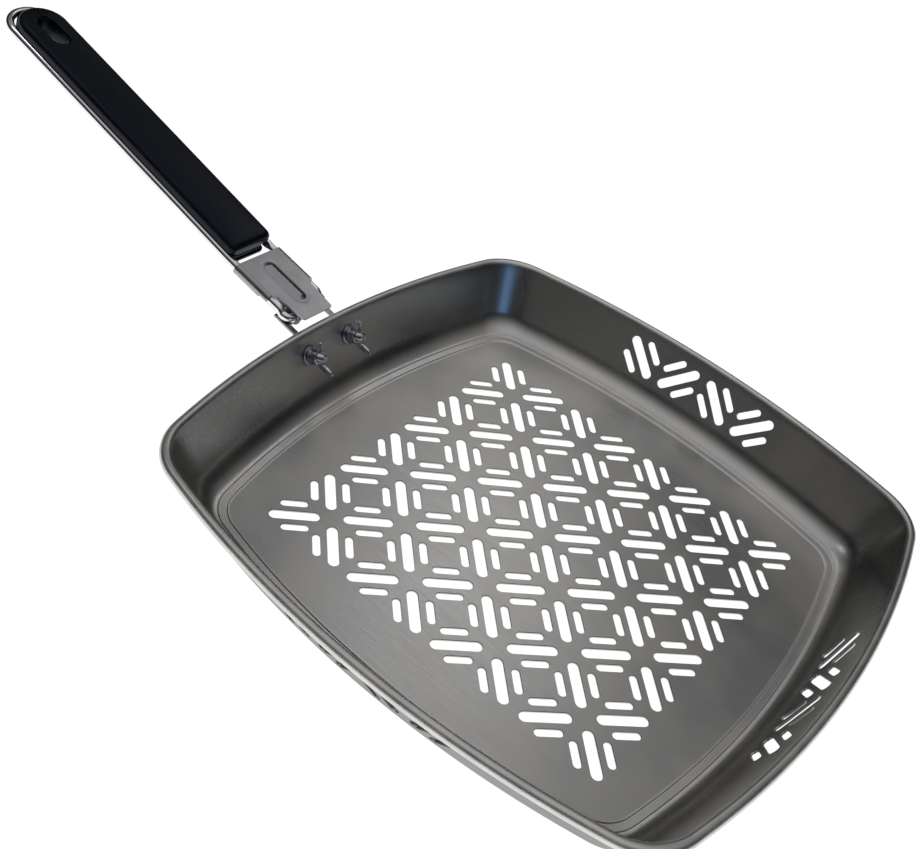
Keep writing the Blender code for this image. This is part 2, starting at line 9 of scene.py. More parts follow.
import bpy
import bmesh
import numpy as np
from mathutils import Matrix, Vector


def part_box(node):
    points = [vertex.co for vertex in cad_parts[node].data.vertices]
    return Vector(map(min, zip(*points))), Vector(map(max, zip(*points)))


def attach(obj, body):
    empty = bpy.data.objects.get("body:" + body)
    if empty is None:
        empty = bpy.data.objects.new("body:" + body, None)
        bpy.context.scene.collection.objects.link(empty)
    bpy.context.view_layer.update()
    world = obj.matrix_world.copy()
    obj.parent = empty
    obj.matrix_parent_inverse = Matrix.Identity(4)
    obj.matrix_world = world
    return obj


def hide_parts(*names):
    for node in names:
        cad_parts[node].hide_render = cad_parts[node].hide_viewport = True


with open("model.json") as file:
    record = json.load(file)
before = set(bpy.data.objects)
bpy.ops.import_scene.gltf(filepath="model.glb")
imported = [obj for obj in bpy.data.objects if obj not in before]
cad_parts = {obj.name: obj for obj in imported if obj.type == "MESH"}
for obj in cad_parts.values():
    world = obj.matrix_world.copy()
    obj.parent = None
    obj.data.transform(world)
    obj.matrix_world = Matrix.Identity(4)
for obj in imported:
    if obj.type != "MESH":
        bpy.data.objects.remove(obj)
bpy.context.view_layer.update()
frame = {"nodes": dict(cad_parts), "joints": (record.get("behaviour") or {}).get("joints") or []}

bl_info = {
    "name": "Grill basket",
    "version": (1, 0, 0),
    "blender": (4, 5, 0),
    "location": "3D View > Sidebar > Basket",
    "description": "Builds a perforated grill basket with a folding wire handle",
    "category": "Add Mesh",
}

JOINTS = {joint["name"]: joint for joint in frame["joints"]}
HINGE = np.array(JOINTS["handle_fold"]["pos_m"], float)
ROD_WAY = np.array(JOINTS["lock_slide"]["axis"], float)       # along the rods, to the basket
ROD_UP = np.array([-ROD_WAY[2], 0.0, ROD_WAY[0]])
LEVEL = np.array([0.0, 1.0, 0.0])
NUTS = {"left": JOINTS["wing_nut_left_spin"], "right": JOINTS["wing_nut_right_spin"]}
RIM_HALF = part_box("pan_body")[1].x
RIM_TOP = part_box("pan_body")[1].z

GAP = 0.0003                   # clearance between pieces that touch
LINE_WIDTH = 0.0012            # width of each line pressed round the floor
LINE_SPACING = 0.0038          # between the two pressed lines
ARC_START = 0.0056             # where the arc up into the wall begins, past the floor
FLARE = 0.00026                # chamfer round each punched slot
PIN_TURN = 0.0042              # radius of the rods' turn into their hinge pins
BOLT_RADIUS = 0.0024
HUB_HEIGHT = 0.0052            # of a wing nut
WING_THICK = 0.0017
NUT_TURN = math.radians(15)    # how far the wing nuts are turned


# ---------------------------------------------------------------- settings
def length(name, description, default):
    """A property for a size in metres."""
    return bpy.props.FloatProperty(name=name, description=description, default=default,
                                   unit="LENGTH", subtype="DISTANCE", precision=5)


def colour(name, description, default):
    """A property for a colour."""
    return bpy.props.FloatVectorProperty(name=name, description=description, default=default,
                                         subtype="COLOR", size=3, min=0.0, max=1.0)


def angle(name, description, degrees):
    """A property for an angle, from its default in degrees."""
    return bpy.props.FloatProperty(name=name, description=description,
                                   default=math.radians(degrees), subtype="ANGLE")


class BasketSizes(bpy.types.PropertyGroup):
    """Sizes of the drawn and punched basket."""
    sheet: length("Sheet", "Thickness of the steel", 0.0009)
    floor_half: length("Floor half width", "Middle of a side to the start of the fillet", 0.1233)
    floor_bow: length("Floor bow", "Radius of the floor's sides", 0.430)
    floor_corner: length("Floor corner", "Radius of the floor's corners", 0.018)
    rim_bow: length("Rim bow", "Radius of the rim's sides", 0.478)
    rim_corner: length("Rim corner", "Radius of the rim's corners", 0.032)
    bead: length("Bead radius", "Radius of the rolled rim", 0.0026)
    fillet: length("Fillet", "Inner radius between floor and wall", 0.0158)
    lean: angle("Wall lean", "The walls' lean from the vertical", 21.0)
    pitch: length("Slot pitch", "Spacing of the woven slot pattern", 0.0346)
    long_slot: length("Long slot", "Length of a long slot", 0.0235)
    long_width: length("Long slot width", "Width of a long slot", 0.0051)
    short_slot: length("Short slot", "Length of a short slot", 0.0128)
    short_width: length("Short slot width", "Width of a short slot", 0.0036)
    short_offset: length("Short slot offset", "Short slot to the group's middle", 0.00756)
    side_row: length("Side row height", "Height of the slots in the side walls", 0.0213)
    far_row: length("Far row height", "Height of the slots in the far wall", 0.0175)
    step: length("Pressed line", "Height of each line pressed round the floor", 0.0004)


class HandleSizes(bpy.types.PropertyGroup):
    """Sizes of the wire rail and its grip."""
    drop: length("Hinge drop", "Hinge axis below the rods' line", 0.0016)
    rod: length("Rod radius", "Radius of the wire", 0.0023)
    spread: length("Rod spread", "Rod to the handle's middle line", 0.0134)
    front: length("Front length", "Hinge to the bend in the rods", 0.0443)
    reach: length("Grip length", "Bend to the rail's round tip", 0.1925)
    slope: angle("Grip slope", "Rise of the grip from the level", 14.2)
    pin: length("Pin end", "Inner end of a hinge pin, from the middle line", 0.0076)
    rise: length("Rise", "Where the rods leave their line for the hinge", 0.0080)
    top: length("Grip top", "Height of the grip above the rods' line", 0.0090)
    bottom: length("Grip bottom", "Depth of the grip below the rods' line", 0.0044)
    start: length("Grip start", "Near end of the grip, from the bend", 0.0005)
    end: length("Grip end", "Far end of the grip, from the bend", 0.1868)
    hole: length("Hole middle", "Middle of the hanging hole, from the bend", 0.1660)
    hole_length: length("Hole length", "Length of the hanging hole", 0.0205)
    hole_width: length("Hole width", "Width of the hanging hole", 0.0095)


class LockSizes(bpy.types.PropertyGroup):
    """Sizes of the sliding lock, along the rods from the hinge when locked."""
    sheet: length("Sheet", "Thickness of the stamped plate", 0.0007)
    back: length("Back", "Back edge of the plate", -0.0276)
    side_end: length("Side end", "Front end of the rolled edges", -0.0029)
    lip_end: length("Lip end", "Front end of the lips under the rods", -0.0095)
    shoulder: length("Shoulder", "Where the plate narrows to its tongue", -0.0005)
    tip: length("Tip", "Front edge of the tongue", 0.0178)
    rib_middle: length("Rib middle", "Middle of the stiffening rib", -0.0072)
    rib_length: length("Rib length", "Length of the stiffening rib", 0.0290)
    rib_width: length("Rib width", "Width of the stiffening rib", 0.0066)
    rib_height: length("Rib height", "Height of the stiffening rib", 0.0013)


class Finishes(bpy.types.PropertyGroup):
    """Colours of the steel, the plating and the grip."""
    basket: colour("Basket steel", "Drawn stainless sheet", (0.50, 0.50, 0.495))
    # Warmer, lighter patches at random: partly the sheet's mottled tone, partly painted warm
    # glints.
    basket_warm: colour("Mottled steel with painted glints", "Warmer patches of the sheet", (0.60, 0.585, 0.55))
    slider: colour("Slider steel", "Stamped plate", (0.38, 0.385, 0.395))
    chrome: colour("Plating", "Bright plated wire", (0.88, 0.88, 0.90))
    grip: colour("Grip", "Black moulded grip", (0.0030, 0.0036, 0.0062))
    # Painted shade: this dark colour goes on the slot walls, in place of the shade inside the
    # slots.
    edge: colour("Cut edge", "Painted shade on the slot walls", (0.16, 0.155, 0.15))


# ---------------------------------------------------------------- mesh helpers
def grid_faces(rings, points, closed=True, first=0):
    """Quads between rings of points: each point joins its neighbour and the next ring."""
    ring = np.arange(rings - 1)[:, None]
    step = np.arange(points if closed else points - 1)[None, :]
    after = (step + 1) % points
    a = ring * points + step
    b = ring * points + after
    quads = np.stack([a, b, b + points, a + points], axis=-1).reshape(-1, 4)
    return quads + first


def make_mesh(name, vertices, faces, outward=True):
    """A mesh object from arrays, its doubles merged and its faces turned outwards."""
    mesh = bpy.data.meshes.new(name)
    mesh.from_pydata(np.asarray(vertices, float).tolist(), [], [list(f) for f in faces])
    if outward:
        work = bmesh.new()
        work.from_mesh(mesh)
        bmesh.ops.remove_doubles(work, verts=work.verts, dist=1e-7)
        bmesh.ops.recalc_face_normals(work, faces=work.faces)
        work.to_mesh(mesh)
        work.free()
    made = bpy.data.objects.new(name, mesh)
    bpy.context.scene.collection.objects.link(made)
    return made


def joined(name, shells):
    """One mesh of several closed shells, each rings of equal length, capped at its ends."""
    vertices, faces, first = [], [], 0
    for rings in shells:
        rings = np.asarray(rings, float)
        count, points = rings.shape[:2]
        vertices.append(rings.reshape(-1, 3))
        faces += grid_faces(count, points, True, first).tolist()
        last = first + (count - 1) * points
        faces += [list(range(first, first + points))[::-1], list(range(last, last + points))]
        first += count * points
    return make_mesh(name, np.vstack(vertices), faces)


def closed_shell(name, rings):
    """A closed solid from one set of rings."""
    return joined(name, [rings])


def smooth(piece, degrees):
    """Smooth shading that stays sharp over an angle."""
    piece.data.shade_smooth()
    piece.data.set_sharp_from_angle(angle=math.radians(degrees))


def apply_modifiers(piece):
    """Replaces a piece's mesh by what its modifiers make of it."""
    bpy.context.view_layer.update()
    evaluated = piece.evaluated_get(bpy.context.evaluated_depsgraph_get())
    mesh = bpy.data.meshes.new_from_object(evaluated)
    piece.modifiers.clear()
    piece.data = mesh
    return piece


def combine(piece, tools, operation="DIFFERENCE", solver="MANIFOLD"):
    """Applies a Boolean of each tool to a piece, and removes the tools."""
    for tool in tools:
        step = piece.modifiers.new(tool.name, "BOOLEAN")
        step.operation = operation
        step.solver = solver
        step.object = tool
    apply_modifiers(piece)
    for tool in tools:
        bpy.data.objects.remove(tool, do_unlink=True)
    return piece


def placed(points, origin, x_axis, y_axis, z_axis):
    """Local points as row-frame points: the origin plus each coordinate times its axis."""
    points = np.asarray(points, float)
    axes = np.array([x_axis, y_axis, z_axis], float)
    return np.asarray(origin, float) + points @ axes


def arc(centre, radius, start, end, steps):
    """Points on a circle from one angle to another, ends included, as an array."""
    turn = np.linspace(start, end, steps + 1)
    return np.stack([centre[0] + radius * np.cos(turn), centre[1] + radius * np.sin(turn)], 1)


def stadium(half_length, radius, steps):
    """A bar with round ends: two half circles joined by straight sides."""
    right = arc((half_length - radius, 0.0), radius, -math.pi / 2, math.pi / 2, steps)
    return np.vstack([right, -right])


def lathe(profile, sides):
    """Rings of a turned solid: each (radius, height) swept round the height axis."""
    turn = np.linspace(0.0, 2 * math.pi, sides, endpoint=False)
    profile = np.asarray(profile, float)
    radius = profile[:, :1]
    return np.stack([radius * np.cos(turn), radius * np.sin(turn),
                     np.repeat(profile[:, 1:], sides, 1)], -1)


def swept(path, radius, sides):
    """Rings of a round wire along a path.

    Each ring lies square to the path. Its first direction is the last
    ring's, with the part along the path taken away, so it doesn't twist.
    """
    way = np.gradient(path, axis=0)
    way /= np.linalg.norm(way, axis=1)[:, None]
    side = np.cross(way[0], [0.0, 0.0, 1.0])
    sides_found = []
    for tangent in way:
        side = side - tangent * side.dot(tangent)
        side = side / np.linalg.norm(side)
        sides_found.append(side)
    side = np.array(sides_found)
    other = np.cross(way, side)
    turn = np.linspace(0.0, 2 * math.pi, sides, endpoint=False)[None, :, None]
    return path[:, None] + radius * (np.cos(turn) * side[:, None] + np.sin(turn) * other[:, None])


# ---------------------------------------------------------------- material helpers
def new_group(name, inputs, outputs):
    """An empty shader node group with float, vector or colour sockets."""
    group = bpy.data.node_groups.new(name, "ShaderNodeTree")
    for socket, kind, default in inputs:
        made = group.interface.new_socket(socket, in_out="INPUT", socket_type=kind)
        made.default_value = default
    for socket, kind in outputs:
        group.interface.new_socket(socket, in_out="OUTPUT", socket_type=kind)
    return group, group.nodes.new("NodeGroupInput"), group.nodes.new("NodeGroupOutput")


def add_node(tree, kind, links=(), **values):
    """A node with properties set, and sockets set or linked from (socket, source) pairs."""
    made = tree.nodes.new(kind)
    for name, value in values.items():
        setattr(made, name, value)
    for socket, source in links:
        if isinstance(source, bpy.types.NodeSocket):
            tree.links.new(source, made.inputs[socket])
        else:
            made.inputs[socket].default_value = source
    return made


def grain_group():
    """Fine lines of a brushed or rolled sheet.

    Noise on Object coordinates that are squeezed across the grain, so that
    each blot becomes a long line.
    """
    found = bpy.data.node_groups.get("sheet_grain")
    if found:
        return found
    group, start, end = new_group(
        "sheet_grain",
        [("Lines", "NodeSocketVector", (60.0, 2600.0, 900.0)), ("Detail", "NodeSocketFloat", 3.0)],
        [("Height", "NodeSocketFloat"), ("Mask", "NodeSocketFloat")])
    place = add_node(group, "ShaderNodeTexCoord")
    scaled = add_node(group, "ShaderNodeVectorMath", [(0, place.outputs["Object"]),
                                                      (1, start.outputs["Lines"])],
                      operation="MULTIPLY")
    noise = add_node(group, "ShaderNodeTexNoise", [("Vector", scaled.outputs[0]), ("Scale", 1.0),
                                                   ("Detail", start.outputs["Detail"]),
                                                   ("Roughness", 0.6)])
    mask = add_node(group, "ShaderNodeMapRange", [("Value", noise.outputs["Fac"]),
                                                  ("From Min", 0.38), ("From Max", 0.66)])
    group.links.new(noise.outputs["Fac"], end.inputs["Height"])
    group.links.new(mask.outputs["Result"], end.inputs["Mask"])
    return group


def cloud_group():
    """Broad soft patches: noise on Object coordinates, stretched between two levels."""
    found = bpy.data.node_groups.get("soft_patches")
    if found:
        return found
    group, start, end = new_group(
        "soft_patches",
        [("Scale", "NodeSocketFloat", 18.0), ("Low", "NodeSocketFloat", 0.38),
         ("High", "NodeSocketFloat", 0.64)],
        [("Mask", "NodeSocketFloat"), ("Height", "NodeSocketFloat")])
    place = add_node(group, "ShaderNodeTexCoord")
    noise = add_node(group, "ShaderNodeTexNoise", [("Vector", place.outputs["Object"]),
                                                   ("Scale", start.outputs["Scale"]),
                                                   ("Detail", 2.5), ("Roughness", 0.5)])
    mask = add_node(group, "ShaderNodeMapRange", [("Value", noise.outputs["Fac"]),
                                                  ("From Min", start.outputs["Low"]),
                                                  ("From Max", start.outputs["High"])])
    group.links.new(mask.outputs["Result"], end.inputs["Mask"])
    group.links.new(noise.outputs["Fac"], end.inputs["Height"])
    return group


def new_material(name):
    """A material with a Principled shader, and its tree and shader."""
    made = bpy.data.materials.new(name)
    made.use_nodes = True
    return made, made.node_tree, made.node_tree.nodes["Principled BSDF"]


def use_group(tree, group, **values):
    """A placed node group with its input values."""
    node = tree.nodes.new("ShaderNodeGroup")
    node.node_tree = group
    for name, value in values.items():
        node.inputs[name].default_value = value
    return node


def scaled(tint, share):
    """A colour times a share."""
    return tuple(float(c) * share for c in tint)


def metal(name, finish, light, dark, lines, rough, grain_depth, patches, patch_depth):
    """A metal with sheet grain, broad patches of tone, and roughness that follows both.

    Colour runs from dark to light with the patches; each is a finish's name and
    a share of it. Roughness runs between the two values of rough with the grain.
    The grain is a fine bump on a broad one.
    """
    light, dark = (scaled(getattr(finish, part), share) for part, share in (light, dark))
    made, tree, shader = new_material(name)
    grain = use_group(tree, grain_group(), Lines=lines)
    cloud = use_group(tree, cloud_group(), Scale=patches)
    tone = add_node(tree, "ShaderNodeMix", [("Factor", cloud.outputs["Mask"]),
                                            ("A", (*dark, 1.0)), ("B", (*light, 1.0))],
                    data_type="RGBA")
    blend = add_node(tree, "ShaderNodeMath", [(0, grain.outputs["Mask"]),
                                              (1, cloud.outputs["Mask"])], operation="ADD")
    roughness = add_node(tree, "ShaderNodeMapRange", [("Value", blend.outputs[0]),
                                                      ("From Max", 2.0), ("To Min", rough[0]),
                                                      ("To Max", rough[1])])
    broad = add_node(tree, "ShaderNodeBump", [("Height", cloud.outputs["Height"]),
                                              ("Strength", 1.0), ("Distance", patch_depth)])
    fine = add_node(tree, "ShaderNodeBump", [("Height", grain.outputs["Height"]),
                                             ("Strength", 1.0), ("Distance", grain_depth),
                                             ("Normal", broad.outputs["Normal"])])
    shader.inputs["Metallic"].default_value = 1.0
    tree.links.new(tone.outputs["Result"], shader.inputs["Base Color"])
    tree.links.new(roughness.outputs["Result"], shader.inputs["Roughness"])
    tree.links.new(fine.outputs["Normal"], shader.inputs["Normal"])
    return made


# Each metal's light and dark colour, the stretch of its grain, its range of roughness,
# the depth of its grain, and the scale and depth of its patches.
METALS = {
    # The light colour is the warm patches: mottled tone with painted warm glints.
    "basket_steel": (("basket_warm", 1.0), ("basket", 1.0), (60.0, 1500.0, 300.0),
                     (0.27, 0.38), 0.000006, 20.0, 0.00022),
    # Painted shade: the outside is the inner steel darkened, a shaded copy of the same sheet.
    "basket_outside": (("basket", 0.46), ("basket", 0.32), (60.0, 60.0, 900.0),
                       (0.30, 0.42), 0.00001, 40.0, 0.0002),
    # Painted highlight: the bead is the same sheet, its colour lightened 1.3 times as a lit copy.
    "rim_steel": (("basket_warm", 1.3), ("basket", 1.3), (150.0, 150.0, 3000.0),
                  (0.36, 0.46), 0.000005, 60.0, 0.00004),
    "slider_steel": (("slider", 1.08), ("slider", 1.0), (260.0, 3600.0, 1800.0),
                     (0.26, 0.40), 0.00001, 90.0, 0.00004),
    "bracket_steel": (("slider", 0.9), ("slider", 0.75), (1800.0, 260.0, 1800.0),
                      (0.28, 0.42), 0.00001, 90.0, 0.00004),
    "bright_plating": (("chrome", 1.0), ("chrome", 0.92), (90.0, 2000.0, 2000.0),
                       (0.06, 0.14), 0.000003, 60.0, 0.00003),
    "fastener_steel": (("chrome", 0.85), ("chrome", 0.6), (900.0, 900.0, 900.0),
                       (0.14, 0.30), 0.00001, 200.0, 0.00005),
    # Painted shade: the slot walls are darkened here to stand in for the shade inside the slots.
    "cut_edge": (("edge", 1.0), ("edge", 0.6), (500.0, 500.0, 5000.0),
                 (0.45, 0.65), 0.00002, 120.0, 0.00003),
}


def grip_plastic(finish):
    """Black moulding: a fine pebbled bump, and patches of sheen from handling."""
    made, tree, shader = new_material("grip_plastic")
    cloud = use_group(tree, cloud_group(), Scale=45.0)
    tone = add_node(tree, "ShaderNodeMix",
                    [("Factor", cloud.outputs["Mask"]), ("A", (*finish.grip, 1.0)),
                     ("B", (*scaled(finish.grip, 1.9), 1.0))], data_type="RGBA")
    roughness = add_node(tree, "ShaderNodeMapRange", [("Value", cloud.outputs["Mask"]),
                                                      ("To Min", 0.30), ("To Max", 0.40)])
    place = add_node(tree, "ShaderNodeTexCoord")
    pebbles = add_node(tree, "ShaderNodeTexVoronoi", [("Vector", place.outputs["Object"]),
                                                      ("Scale", 2200.0)])
    bump = add_node(tree, "ShaderNodeBump", [("Height", pebbles.outputs["Distance"]),
                                             ("Strength", 0.5), ("Distance", 0.00003)])
    tree.links.new(tone.outputs["Result"], shader.inputs["Base Color"])
    tree.links.new(roughness.outputs["Result"], shader.inputs["Roughness"])
    tree.links.new(bump.outputs["Normal"], shader.inputs["Normal"])
    shader.inputs["Specular IOR Level"].default_value = 0.20
    # Painted reflection: the bluish tint colours the grip's reflections to stand in for a blue
    # sheen of light.
    shader.inputs["Specular Tint"].default_value = (0.62, 0.74, 1.0, 1.0)
    return made


MADE = {}


def finish_of(name):
    """The material of a name, made once."""
    if name not in MADE:
        finish = bpy.context.scene.basket_finishes
        MADE[name] = (grip_plastic(finish) if name == "grip_plastic"
                      else metal(name, finish, *METALS[name]))
    return MADE[name]


def dress(piece, *names):
    """Gives a piece its materials, in the order of its slots."""
    piece.data.materials.clear()
    for name in names:
        piece.data.materials.append(finish_of(name))


def stand_for(piece, sharp, body, slot, *nodes):
    """Smooths a piece up to a sharp angle, ties it to its body and hides the nodes it stands for.
    Its slot is not used.
    """
    smooth(piece, sharp)
    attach(piece, body)
    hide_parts(*nodes)


# ---------------------------------------------------------------- basket shape
def outline(half, bow, corner, bow_steps=24, corner_steps=16):
    """A bowed square of a half width.

    Each side is an arc of radius bow, and each corner an arc of radius corner
    that meets both sides in line. One quarter is found and turned three times.
    """
    side = half - bow
    reach = bow - corner
    centre = side / 2 + math.sqrt(reach ** 2 - side ** 2 / 2) / math.sqrt(2)
    first = math.atan2(centre, centre - side)
    rise = arc((side, 0.0), bow, 0.0, first, bow_steps)[:-1]
    turn = arc((centre, centre), corner, first, math.pi / 2 - first, corner_steps)
    fall = rise[::-1, ::-1][:-1]
    quarter = np.vstack([rise, turn, fall])
    turns = [np.array([[1, 0], [0, 1]]), np.array([[0, 1], [-1, 0]]),
             np.array([[-1, 0], [0, -1]]), np.array([[0, -1], [1, 0]])]
    return np.vstack([quarter @ matrix for matrix in turns])


def basket_ring(size, half, height):
    """The outline at a half width, between the floor's shape and the rim's, at a height."""
    share = (half - size.floor_half) / (RIM_HALF - size.floor_half)
    bow = size.floor_bow + (size.rim_bow - size.floor_bow) * share
    corner = size.floor_corner + (size.rim_corner - size.floor_corner) * share
    flat = outline(half, bow, corner)
    return np.column_stack([flat, np.full(len(flat), height)])


def wall_top(size):
    """Where the wall's inner face meets the bead: (half width, height)."""
    bead_height = RIM_TOP - size.bead
    return (RIM_HALF - size.bead * (1 + math.cos(size.lean)),
            bead_height + size.bead * math.sin(size.lean))


def wall_half(size, height):
    """Half width of the wall's inner face at a height, at mid side."""
    half, top = wall_top(size)
    return half - (top - height) * math.tan(size.lean)


def soft_step(start, end, low, high, steps):
    """A rise from low to high that starts and ends level: the smooth cubic step."""
    share = np.linspace(0.0, 1.0, steps + 1)
    return np.column_stack([start + (end - start) * share,
                            low + (high - low) * share ** 2 * (3 - 2 * share)])


def basket_section(size):
    """The basket's section as rows of (half width, height), inside then outside.

    The floor ends in two pressed lines, then an arc turns up into the wall,
    the bead is a circle, and the outside follows one sheet's thickness away.
    """
    turn = math.pi / 2 - size.lean
    foot, top = size.floor_half, size.sheet
    first = foot - LINE_WIDTH / 3
    second = first + LINE_SPACING
    inside = [np.array([[foot - 0.0060, top], [foot - 0.0015, top]]),
              soft_step(first, first + LINE_WIDTH, top, top + size.step, 5),
              soft_step(second, second + LINE_WIDTH, top + 1.05 * size.step,
                        top + 2.1 * size.step, 5)]
    angles = np.linspace(math.asin(ARC_START / size.fillet), turn, 14)
    inside.append(np.column_stack([foot + size.fillet * np.sin(angles),
                                   top + size.fillet * (1 - np.cos(angles))]))
    half, height = wall_top(size)
    low_half = foot + size.fillet * math.sin(turn)
    low_height = top + size.fillet * (1 - math.cos(turn))
    share = np.linspace(0.0, 1.0, 9)[1:-1, None]
    inside.append(np.array([low_half, low_height]) * (1 - share)
                  + np.array([half, height]) * share)
    bead = (RIM_HALF - size.bead, RIM_TOP - size.bead)
    inside.append(arc(bead, size.bead, math.pi - size.lean, math.radians(-125), 26))
    skin = size.sheet / math.cos(size.lean)
    neck = bead[1] - 1.3 * size.bead
    outer = arc((foot, size.sheet + size.fillet), size.fillet + size.sheet,
                turn - math.pi / 2, -math.pi / 2, 12)
    neck_point = [half - (height - neck) * math.tan(size.lean) + skin, neck]
    inside += [np.array([neck_point]), outer]
    return np.vstack(inside)


def slot_cutter(name, slots, flare_at, depth):
    """One mesh of closed bars with round ends, each flared where it meets the sheet.

    slots is rows of (centre, long way, cross way, out way, half length, radius).
    Each bar is four rings of a stadium, and the upper rings grow outwards, which
    leaves a small bright chamfer round the cut. The lower rings make the slot walls,
    which get the dark cut-edge colour as painted shade.
    """
    steps = 9
    levels = [(-depth, 0.0), (flare_at - FLARE, 0.0), (flare_at + 0.00002, FLARE),
              (flare_at + 0.0010, FLARE * 1.6)]
    shells = []
    for centre, along, across, out, half_length, radius in slots:
        rings = []
        for height, grow in levels:
            flat = stadium(half_length + grow, radius + grow, steps)
            rings.append(placed(np.column_stack([flat, np.full(len(flat), height)]),
                                centre, along, across, out))
        shells.append(rings)
    made = joined(name, shells)
    points = len(shells[0][0])
    # Index 1 puts the dark cut-edge colour, painted shade, on the slot walls.
    marks = [1] * points + [0] * (len(levels) - 2) * points + [1, 0]
    made.data.polygons.foreach_set("material_index", np.array(marks * len(slots), np.int32))
    return made


def slot_group(size, centre, along, across, out, stretch=1.0):
    """A long slot between two short ones, as rows for the cutter."""
    rows = [(centre, along, across, out, size.long_slot / 2 * stretch, size.long_width / 2)]
    for side in (-1, 1):
        rows.append((centre + across * side * size.short_offset, along, across, out,
                     size.short_slot / 2 * stretch, size.short_width / 2))
    return rows


def floor_slots(size):
    """Groups on the links of a square net turned an eighth of a turn to the sides."""
    ways = (np.array([1.0, 1.0, 0.0]) / math.sqrt(2), np.array([1.0, -1.0, 0.0]) / math.sqrt(2))
    up = np.array([0.0, 0.0, 1.0])
    rows = []
    for line in range(-3, 4):
        for step in range(-4, 4):
            link = step + 0.5
            if abs(link) + abs(line) > 3.5:
                continue
            for along, across in (ways, ways[::-1]):
                centre = (along * link + across * line) * size.pitch
                rows += slot_group(size, centre, along, np.cross(up, along), up)
    return rows


def wall_slots(size):
    """Four groups in a row on three walls, their ways taking turns, each square to the wall."""
    rows = []
    walls = ((0.0, size.far_row), (math.pi / 2, size.side_row), (-math.pi / 2, size.side_row))
    for heading, height in walls:
        for place in range(4):
            run = (place - 1.5) * math.sqrt(0.5) * size.pitch
            bow = size.floor_bow + 0.6 * (size.rim_bow - size.floor_bow)
            yaw = run / bow
            out = np.array([math.cos(heading + yaw), math.sin(heading + yaw), 0.0])
            level = np.array([-out[1], out[0], 0.0])
            up = out * math.sin(size.lean) + np.array([0, 0, math.cos(size.lean)])
            away = out * math.cos(size.lean) - np.array([0, 0, math.sin(size.lean)])
            middle = np.array([math.cos(heading), math.sin(heading), 0.0])
            side = np.array([-middle[1], middle[0], 0.0])
            reach = wall_half(size, height) - bow * (1 - math.cos(yaw))
            centre = middle * reach + side * run + np.array([0, 0, height])
            slant = -math.pi / 4 * (-1) ** place
            along = level * math.cos(slant) + up * math.sin(slant)
            across = np.cross(-away, along)
            rows += slot_group(size, centre, along, across, -away, 1.06)
    return rows


def mark_steel(pan, size):
    """Gives the bead a lightened copy of the steel as painted highlight, and the outside a darkened
    copy as painted shade, by each face's place and way.
    """
    count = len(pan.data.polygons)
    middle, way = np.empty(count * 3), np.empty(count * 3)
    pan.data.polygons.foreach_get("center", middle)
    pan.data.polygons.foreach_get("normal", way)
    middle, way = middle.reshape(-1, 3), way.reshape(-1, 3)
    bead = middle[:, 2] > RIM_TOP - 2.1 * size.bead
    outward = (way[:, :2] * middle[:, :2]).sum(1) > 0
    under = way[:, 2] < -0.2
    # Index 2 is the lightened bead, painted highlight; index 3 is the darkened outside, painted
    # shade.
    marks = np.where(bead & (outward | (middle[:, 2] > RIM_TOP - size.bead)), 2,
                     np.where(outward | under, 3, 0))
    pan.data.polygons.foreach_set("material_index", marks.astype(np.int32))


class BASKET_OT_pan(bpy.types.Operator):
    """Builds the drawn basket with its punched slots"""
    bl_idname = "basket.pan"
    bl_label = "Basket"

    def execute(self, context):
        size = context.scene.basket_sizes
        section = basket_section(size)
        rings = [basket_ring(size, half, height) for half, height in section]
        pan = closed_shell("basket_pan", rings)
        # The bead and outside steels are lit and shaded copies of one steel, painted highlight and
        # painted shade; the cut edge colour is painted shade.
        steels = ("basket_steel", "cut_edge", "rim_steel", "basket_outside")
        dress(pan, *steels)
        mark_steel(pan, size)
        holes = [slot_cutter("floor_cuts", floor_slots(size), size.sheet, 0.002),
                 slot_cutter("wall_cuts", wall_slots(size), 0.0, 0.004)]
        for nut in NUTS.values():
            way = Vector(nut["axis"])
            turn = way.to_track_quat("Z", "Y").to_matrix()
            ring = lathe([(BOLT_RADIUS + 0.0004, -0.004), (BOLT_RADIUS + 0.0004, 0.004)], 32)
            spots = placed(ring, nut["pos_m"], turn.col[0], turn.col[1], turn.col[2])
            holes.append(closed_shell("bolt_hole", spots))
        for hole in holes:
            dress(hole, *steels)
        combine(pan, holes)
        stand_for(pan, 32.0, "basket", "basket_steel", "pan_body")
        return {"FINISHED"}


# ---------------------------------------------------------------- handle
def front_point(points, size):
    """Points along the rods, across and up from their line above the hinge, in the row frame."""
    origin = HINGE + ROD_UP * size.drop
    return placed(points, origin, ROD_WAY, LEVEL, ROD_UP)


def grip_axes(size):
    """Origin at the bend in the rods, then the ways back along the grip, across and up."""
    bend = HINGE + ROD_UP * size.drop - ROD_WAY * size.front
    back = np.array([-math.cos(size.slope), 0.0, math.sin(size.slope)])
    up = np.array([math.sin(size.slope), 0.0, math.cos(size.slope)])
    return bend, back, -LEVEL, up


def grip_point(points, size):
    """Points back along the grip, across and up, in the row frame."""
    return placed(points, *grip_axes(size))


